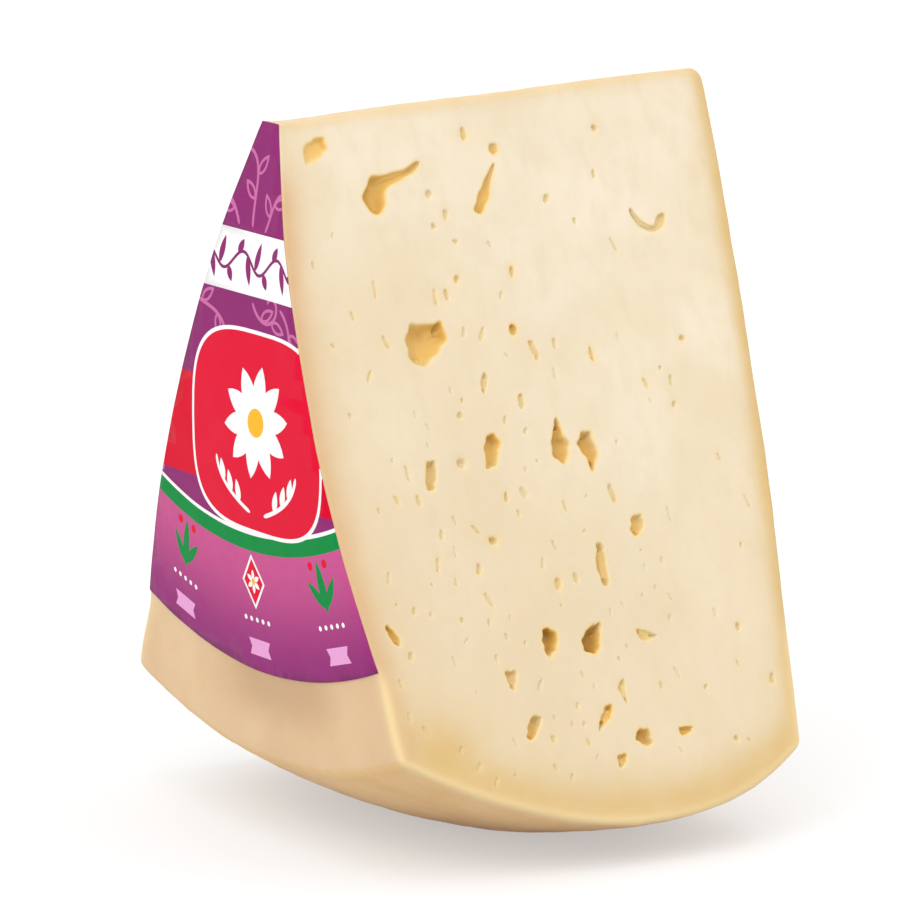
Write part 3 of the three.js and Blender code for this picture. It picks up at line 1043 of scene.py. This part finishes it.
def panel():
    """A red cartouche with a white line round it, one large flower and two sprigs."""
    middle = np.array(PANEL_MIDDLE)
    half = np.array(PANEL_HALF)
    shapes = [
        (superellipse(middle, half + WHITE_LINE), "white"),
        (superellipse(middle, half), "panel"),
        *flower(middle + (0, -2.5), 13.5, 10, 5.4, 9),
    ]
    for side in (-1, 1):
        path = curl(middle + (side * 3, 19), 90 - side * 72, 19, side * 1, side * 7.5, 20)
        shapes.append((stroke(path, 1), "white"))
        for place in (5, 9, 13):
            root = path[place]
            shapes.append((leaf(root, root + (side * 1.2, -5.2), 2.2), "white"))
    return shapes


def ring_marks():
    """Marks round the ring: red diamonds and green sprigs in turn, dots and blank ribbons."""
    middle = np.array([0, MARK_RADIUS])
    diamond = np.array([(0, -6.6), (4.9, 0), (0, 6.6), (-4.9, 0)])
    ribbon = np.array([(-4.6, -2), (4.6, -2), (3.6, 0), (4.6, 2), (-4.6, 2), (-3.6, 0)])
    shapes = []
    for i, degrees in enumerate(MARK_DEGREES):
        if i % 2:
            marks = [(middle + diamond, "white"), (middle + 0.84 * diamond, "panel")]
            marks += flower(middle, 2.9, 6, 1.25)
        else:
            marks = [(leaf(middle + (0, 6.2), middle + (0, -6.4), 3), "green")]
            for side in (-1, 1):
                blade = leaf(middle + (0, 5), middle + (side * 5.6, -1.8), 2.4)
                berry = disc(middle + (side * 3.1, -5.2), 1.05, 12)
                marks += [(blade, "green"), (berry, "panel")]
        for place in range(-2, 3):
            marks.append((disc(middle + (place * 2.5, 9.2), 0.62, 10), "white"))
        marks.append((ribbon + (0, RIBBON_RADIUS), "ribbon"))
        shapes += [(turned(shape, degrees), ink) for shape, ink in marks]
    return shapes


def ring_band(inner, outer):
    return np.concatenate([arc(outer), arc(inner)[::-1]])


def band(top, bottom):
    left, right = -BAND_REACH, BAND_REACH
    return np.array([(left, top), (right, top), (right, bottom), (left, bottom)])


def label_print():
    """All the shapes of the print, the lowest first."""
    top, below = GREEN_RING[0], LABEL_RADIUS + 5
    return [
        (band(0, below), "purple"), *field_lines(),
        (band(*WHITE_BAND), "white"), *garland(),
        (band(*RED_BAND), "red"),
        (ring_band(top - WHITE_LINE, below), "ring"),
        (ring_band(top - WHITE_LINE, top), "white"),
        (ring_band(*GREEN_RING), "green"), *ring_marks(), *panel(),
    ]


def label_outline():
    """Where the printed paper ends: at the two cuts, the tip and its own round edge."""
    inset = LABEL_INSET / math.cos(HALF_ANGLE)
    top = TIP_CUT_LABEL_SIDE + LABEL_INSET
    half_turn = HALF_ANGLE - math.asin(LABEL_INSET / LABEL_RADIUS)
    angles = np.linspace(half_turn, -half_turn, 60)
    lower = pairs(LABEL_RADIUS * np.sin(angles), LABEL_RADIUS * np.cos(angles))
    half_top = top * math.tan(HALF_ANGLE) - inset
    right = np.linspace((half_top, top), lower[0], 60)[:-1]
    left = np.linspace(lower[-1], (-half_top, top), 60)[1:]
    return np.concatenate([right, lower, left])


def label_mesh():
    """The label's points in mm, faces, and the ink of each face."""
    outline = label_outline()
    shapes = label_print()
    grid = grid_over(outline, LABEL_STEP)
    grid = grid[inside_loop(grid, outline)]
    corners, edges = [], []
    for loop in [outline] + [shape for shape, _ in shapes]:
        start = len(corners)
        corners += loop.tolist()
        edges += [(start + i, start + (i + 1) % len(loop)) for i in range(len(loop))]
    corners += grid.tolist()
    result = delaunay_2d_cdt([Vector(corner) for corner in corners], edges, [], 0, 1e-5, False)
    flat = np.array([tuple(corner) for corner in result[0]])
    triangles = np.array([tuple(face) for face in result[2]])
    middles = flat[triangles].mean(axis=1)
    kept = inside_loop(middles, outline)
    triangles, middles = triangles[kept], middles[kept]
    names = list(INKS)
    ink = np.zeros(len(triangles), int)
    for shape, name in shapes:
        ink[inside_loop(middles, shape)] = names.index(name)
    used = np.unique(triangles)
    renamed = np.full(len(flat), -1)
    renamed[used] = np.arange(len(used))
    return flat[used], renamed[triangles], ink


def label_solid():
    """The label as thin closed paper on the cheese."""
    flat, triangles, ink = label_mesh()
    radius = lengths(flat)
    y, z = -flat[:, 0], AXIS_HEIGHT - flat[:, 1]
    base = label_face(radius) + MID_SHIFT - label_relief(np.stack([y, y, z], axis=1)) - LABEL_LIFT
    back = np.stack([base, y, z], axis=1)
    front = np.stack([base - LABEL_THICKNESS, y, z], axis=1)
    count = len(flat)
    edges = np.concatenate([triangles[:, [0, 1]], triangles[:, [1, 2]], triangles[:, [2, 0]]])
    owners = np.tile(ink, 3)
    beside = dict(zip(map(tuple, edges.tolist()), owners.tolist()))
    rim = [(a, b) for a, b in beside if (b, a) not in beside]
    white = list(INKS).index("white")
    faces = [tuple(face) for face in triangles.tolist()]
    faces += [tuple(corner + count for corner in face[::-1]) for face in triangles.tolist()]
    faces += [(b, a, a + count, b + count) for a, b in rim]
    inks = ink.tolist() + [white] * len(triangles) + [beside[edge] for edge in rim]
    return np.concatenate([front, back]), faces, inks, np.tile(radius, 2)


# ---- pieces ----

def add_object(name, data):
    item = bpy.data.objects.new(name, data)
    bpy.context.scene.collection.objects.link(item)
    return item


def new_piece(name, points, faces, attributes, node):
    mesh = bpy.data.meshes.new(name)
    mesh.from_pydata((points * MM).tolist(), [], faces)
    for title, values in attributes.items():
        layer = mesh.attributes.new(title, "FLOAT", "POINT")
        layer.data.foreach_set("value", np.asarray(values, np.float32))
    mesh.update()
    piece = add_object(name, mesh)
    face_out(piece)
    mesh.shade_smooth()
    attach(piece, "root")
    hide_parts(node)
    return piece


def face_out(piece):
    work = bmesh.new()
    work.from_mesh(piece.data)
    bmesh.ops.recalc_face_normals(work, faces=work.faces)
    work.to_mesh(piece.data)
    work.free()


# How the paste colours beside each side: the full share, how deep it reaches, how sharply it ends.
TAN_BAND = (0.95, 4.6, 1.8)  # beside the label's side
BARE_BAND = (1, 4, 3)
HEEL_BAND = (1, 9.6, 2.6)
TIP_BAND = (0.6, 1.8, 2)
YELLOW_TAIL = (0.22, 9)
YELLOW_CORNER = (-38.5, 158)  # across and down
YELLOW_CORNER_REACH = 9.5
YELLOW_EDGE = (0.6, 5, 1.8)  # beside the label's side, below the label
# Pale band along the edges between the cuts and the rind, below the label: partly the rind's own
# paler edge, partly a painted highlight on the rounding.
RIDGE_REACH = 2.1
RIDGE_DOWN = (134, 142)
TAN_DOWN = (14, 30)
CUT_SHADE_LOW = 0.45  # painted shade of the cut, deepening towards the heel
CUT_SHADE_LOW_DOWN = (60, 150)
CUT_SHADE_ASIDE = 0.35  # painted shade of the cut, deepening towards the label's side
CUT_SHADE_ASIDE_ACROSS = (45, -20)
CUT_SHADE_ASIDE_DOWN = (0, 60)
BELOW_LABEL = (LABEL_RADIUS - 10, LABEL_RADIUS + 8)
DIP_SHADE_DOWN = (142, 154)  # where the painted shade in the dip under the label ends
DIP_SHADE_MIDDLE = -8  # in y
DIP_SHADE_REACH = (34, 10)  # where it fades, on either side of its middle
CUT_SKIN = (0.3, 1.4)  # from a cut: where paste turns to rind
HEEL_SKIN = (-1.6, -0.2)  # from the heel: where a face's rind turns to the heel's
FLOOR_SHADOW_HEIGHT = 19  # below which painted shadow darkens the heel, where it stands on the floor


def colour_band(side, share, reach, sharpness):
    return share * np.exp(-(np.maximum(-side, 0) / reach) ** sharpness)


def paste_tints(points, sides):
    """Shares of gold and tan in the paste, and of painted shade that darkens the cut towards the
    heel and the label's side.
    """
    across, _, down = cylindrical(points)
    tan = colour_band(sides["label"], *TAN_BAND) * smooth(*TAN_DOWN, down)
    share, reach = YELLOW_TAIL
    nearest = -np.maximum.reduce([sides["label"], sides["bare"], sides["heel"]])
    from_corner = np.hypot(across - YELLOW_CORNER[0], down - YELLOW_CORNER[1])
    pale = 1 - share * np.exp(-np.maximum(nearest, 0) / reach)
    pale = pale * (1 - np.exp(-(from_corner / YELLOW_CORNER_REACH) ** 2))
    below_label = smooth(*BELOW_LABEL, down)
    pale = pale * (1 - below_label * colour_band(sides["label"], *YELLOW_EDGE))
    for side, limits in (("bare", BARE_BAND), ("heel", HEEL_BAND), ("tip", TIP_BAND)):
        pale = pale * (1 - colour_band(sides[side], *limits))
    # Painted shade, deeper towards the heel and towards the label's side.
    low = CUT_SHADE_LOW * smooth(*CUT_SHADE_LOW_DOWN, down)
    aside = CUT_SHADE_ASIDE * smooth(*CUT_SHADE_ASIDE_ACROSS, across) * smooth(*CUT_SHADE_ASIDE_DOWN, down)
    cut_painted_shade = low + aside * (1 - low)
    return 1 - pale, tan, cut_painted_shade


def build_cheese():
    points, faces, tone, inward = wedge_mesh()
    points = settle(points)
    sides = side_distances(points)
    moved, weight = roughen(points, sides)
    moved = moved + inward
    moved[:, 2] = np.maximum(moved[:, 2], 0)
    from_cut = -np.maximum(sides["shown"], sides["hidden"])
    from_rind = -np.maximum.reduce([sides["label"], sides["bare"], sides["heel"]])
    skin = smooth(*CUT_SKIN, from_cut) * (1 - weight["tip"])
    gold, tan, cut_painted_shade = paste_tints(points, sides)
    down = cylindrical(points)[2]
    from_edge = np.hypot(np.maximum(from_cut, 0), np.maximum(from_rind, 0))
    # Pale edge between cut and rind: partly its own paler colour, partly a painted highlight.
    pale_edge_and_highlight = np.exp(-(from_edge / RIDGE_REACH) ** 2) * smooth(*RIDGE_DOWN, down)
    # Painted shade in the dip of the printed side, below the label.
    dip = smooth(*DIP_SHADE_REACH, np.abs(points[:, 1] - DIP_SHADE_MIDDLE))
    attributes = {
        "eye_tint_and_shade": tone,
        "gold": gold,
        "tan": tan,
        "pale_edge_and_highlight": pale_edge_and_highlight,
        "rind": np.where(inward.any(axis=1), 0, skin),
        "heel": smooth(*HEEL_SKIN, sides["heel"]),
        "cut_painted_shade": cut_painted_shade,
        "dip": weight["label"] * (1 - smooth(*DIP_SHADE_DOWN, down)) * dip,
        # Painted shadow at the bottom of the heel, beside the floor.
        "heel_floor_shadow": 1 - smooth(0, FLOOR_SHADOW_HEIGHT, points[:, 2]),
    }
    piece = new_piece("cheese_wedge", moved, faces, attributes, "cheese")
    piece.data.materials.append(cheese_material())


def build_label():
    points, faces, inks, radius = label_solid()
    piece = new_piece("printed_label", points, faces, {"radius": radius}, "label")
    for name, channels in INKS.items():
        piece.data.materials.append(ink_material(name, channels))
    piece.data.polygons.foreach_set("material_index", inks)


# ---- studio ----

VIEW_AZIMUTH = -33.35
VIEW_ELEVATION = 11.04
VIEW_ROLL = 1.02
VIEW_DISTANCE = 1500
VIEW_TARGET = (-5.7, 0, 88.4)
VIEW_LENS = 254.3
SENSOR = 36

# Broad soft lights: the direction each comes from, its softness in degrees and its strength.
LIGHTS = {
    "key": ((0.9, -1, 1.4), 50, 0.5),
    "fill": ((-1.2, -0.4, 0.8), 38, 1),
    "top": ((-0.5, -0.7, 1), 46, 0.9),
    "back": ((0.3, 1, 0.9), 50, 0.3),
}
FLOOR_HALF = 20  # metres
FLOOR_DROP = 0.1  # below the cheese


def build_camera():
    azimuth, elevation, roll = (math.radians(a) for a in (VIEW_AZIMUTH, VIEW_ELEVATION, VIEW_ROLL))
    back = Vector((
        math.sin(azimuth) * math.cos(elevation),
        -math.cos(azimuth) * math.cos(elevation),
        math.sin(elevation),
    ))
    level_right = Vector((math.cos(azimuth), math.sin(azimuth), 0))
    level_up = back.cross(level_right)
    right = math.cos(roll) * level_right + math.sin(roll) * level_up
    up = math.cos(roll) * level_up - math.sin(roll) * level_right
    data = bpy.data.cameras.new("camera")
    data.lens = VIEW_LENS
    data.sensor_width = SENSOR
    data.clip_end = 50
    camera = add_object("camera", data)
    axes = Matrix((right, up, back)).transposed().to_4x4()
    place = (Vector(VIEW_TARGET) + back * VIEW_DISTANCE) * MM
    camera.matrix_world = Matrix.Translation(place) @ axes
    bpy.context.scene.camera = camera


def build_light(name, direction, softness, strength):
    """A sun, so that the light is the same all over the floor."""
    data = bpy.data.lights.new(name, "SUN")
    data.angle = math.radians(softness)
    data.energy = strength
    light = add_object(name, data)
    light.rotation_euler = Vector(direction).to_track_quat("Z", "Y").to_euler()


def build_studio():
    world = bpy.data.worlds.new("studio")
    world.use_nodes = True
    sky = world.node_tree.nodes["Background"]
    sky.inputs["Color"].default_value = (1, 1, 1, 1)
    sky.inputs["Strength"].default_value = 1
    bpy.context.scene.world = world
    bpy.context.scene.view_settings.view_transform = "Standard"
    for name, light in LIGHTS.items():
        build_light(name, *light)
    mesh = bpy.data.meshes.new("floor")
    square = [(-1, -1, 0), (1, -1, 0), (1, 1, 0), (-1, 1, 0)]
    corners = [tuple(FLOOR_HALF * place for place in corner) for corner in square]
    mesh.from_pydata(corners, [], [(0, 1, 2, 3)])
    floor = add_object("floor", mesh)
    floor.location.z = -FLOOR_DROP * MM
    mesh.materials.append(floor_material())


build_camera()
build_studio()
build_cheese()
build_label()
